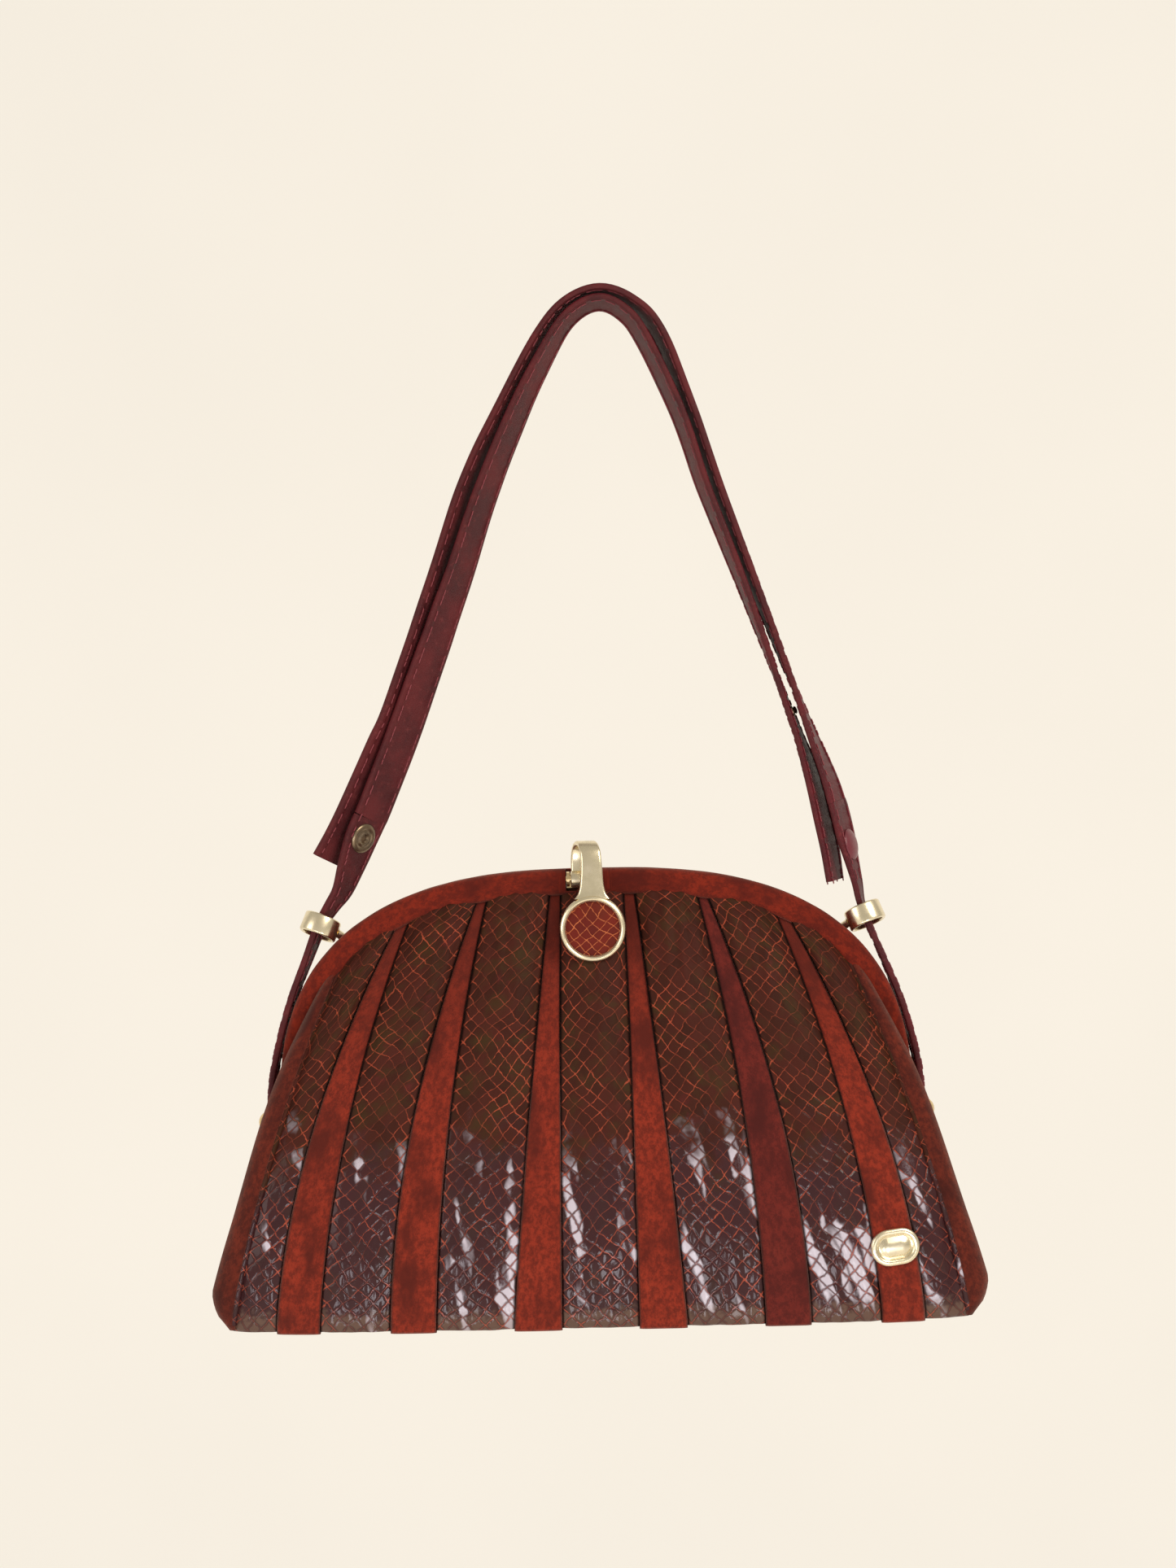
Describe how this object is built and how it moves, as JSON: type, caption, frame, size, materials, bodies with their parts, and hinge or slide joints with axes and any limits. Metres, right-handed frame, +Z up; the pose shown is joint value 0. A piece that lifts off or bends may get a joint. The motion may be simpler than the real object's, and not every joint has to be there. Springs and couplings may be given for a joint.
{
  "type": "frame handbag",
  "caption": "Arched metal-frame handbag in dark snakeskin gores and red suede strips, with a lever clasp and a doubled strap.",
  "frame": {"origin": "underside of the inner strap at the top of its loop, where the bag hangs", "axes": "+X to the right seen from the front, -Y towards the viewer, +Z up"},
  "size_m": [0.3048, 0.078, 0.4158],
  "materials": {
    "suede": "brushed rust-red suede",
    "snakeskin": "glazed dark burgundy reptile leather",
    "inlay": "glazed red-brown reptile leather",
    "strap_leather": "satin maroon leather",
    "frame_suede": "dark red suede",
    "gold": "polished pale gold plating",
    "steel": "plain strip",
    "fibreboard": "matt board with cloth lining",
    "snap_brass": "antique brass",
    "snap_cap": "maroon lacquer"
  },
  "bodies": {
    "strap": {"strap_inner": "strap_leather", "strap_outer": "strap_leather", "left_snap_socket": "snap_brass", "right_snap_cap": "snap_cap", "spare_snap_stud": "snap_brass"},
    "bag": {"back_frame_core": "steel", "back_frame_cover": "frame_suede", "hinge_pin_left": "gold", "hinge_pin_right": "gold", "strap_ring_left": "gold", "strap_ring_right": "gold", "side_strap_left": "strap_leather", "side_strap_right": "strap_leather", "gusset_left": "suede", "gusset_right": "suede", "base_board": "fibreboard", "base_panel": "suede", "back_board": "fibreboard", "back_panel": "snakeskin", "front_board_lower": "fibreboard", "snakeskin_1_lower": "snakeskin", "suede_1_lower": "suede", "snakeskin_2_lower": "snakeskin", "suede_2_lower": "suede", "snakeskin_3_lower": "snakeskin", "suede_3_lower": "suede", "snakeskin_4_lower": "snakeskin", "suede_4_lower": "suede", "snakeskin_5_lower": "snakeskin", "suede_5_lower": "suede", "snakeskin_6_lower": "snakeskin", "suede_6_lower": "suede", "snakeskin_7_lower": "snakeskin", "emblem": "gold"},
    "front_frame": {"front_frame_core": "steel", "front_frame_cover": "frame_suede", "front_board_upper": "fibreboard", "snakeskin_1_upper": "snakeskin", "suede_1_upper": "suede", "snakeskin_2_upper": "snakeskin", "suede_2_upper": "suede", "snakeskin_3_upper": "snakeskin", "suede_3_upper": "suede", "snakeskin_4_upper": "snakeskin", "suede_4_upper": "suede", "snakeskin_5_upper": "snakeskin", "suede_5_upper": "suede", "snakeskin_6_upper": "snakeskin", "suede_6_upper": "suede", "snakeskin_7_upper": "snakeskin", "clasp_base": "gold", "clasp_pin": "gold"},
    "clasp": {"clasp_arm": "gold", "clasp_inlay": "inlay"},
    "inner_tail": {"strap_inner_tail": "strap_leather", "right_snap_socket": "snap_brass"},
    "outer_tail": {"strap_outer_tail": "strap_leather", "left_snap_cap": "snap_cap"}
  },
  "joints": [
    {"name": "bag_swing", "type": "hinge", "parent": "strap", "child": "bag", "pos_m": [-0.0077, 0, -0.2357], "axis": [1, 0, 0], "range_deg": [-90, 90]},
    {"name": "front_opening", "type": "hinge", "parent": "bag", "child": "front_frame", "pos_m": [-0.0077, -0.002, -0.3277], "axis": [1, 0, 0], "range_deg": [0, 50]},
    {"name": "clasp_lift", "type": "hinge", "parent": "front_frame", "child": "clasp", "pos_m": [-0.0119, -0.0113, -0.2317], "axis": [-1, 0, 0], "range_deg": [0, 40]},
    {"name": "inner_tail_flex", "type": "hinge", "parent": "strap", "child": "inner_tail", "pos_m": [0.0774, 0, -0.1759], "axis": [0.181, 0.9817, 0.059], "range_deg": [0, 50]},
    {"name": "outer_tail_flex", "type": "hinge", "parent": "strap", "child": "outer_tail", "pos_m": [-0.0853, 0, -0.1649], "axis": [0.6028, 0.744, -0.2884], "range_deg": [0, 40]}
  ]
}
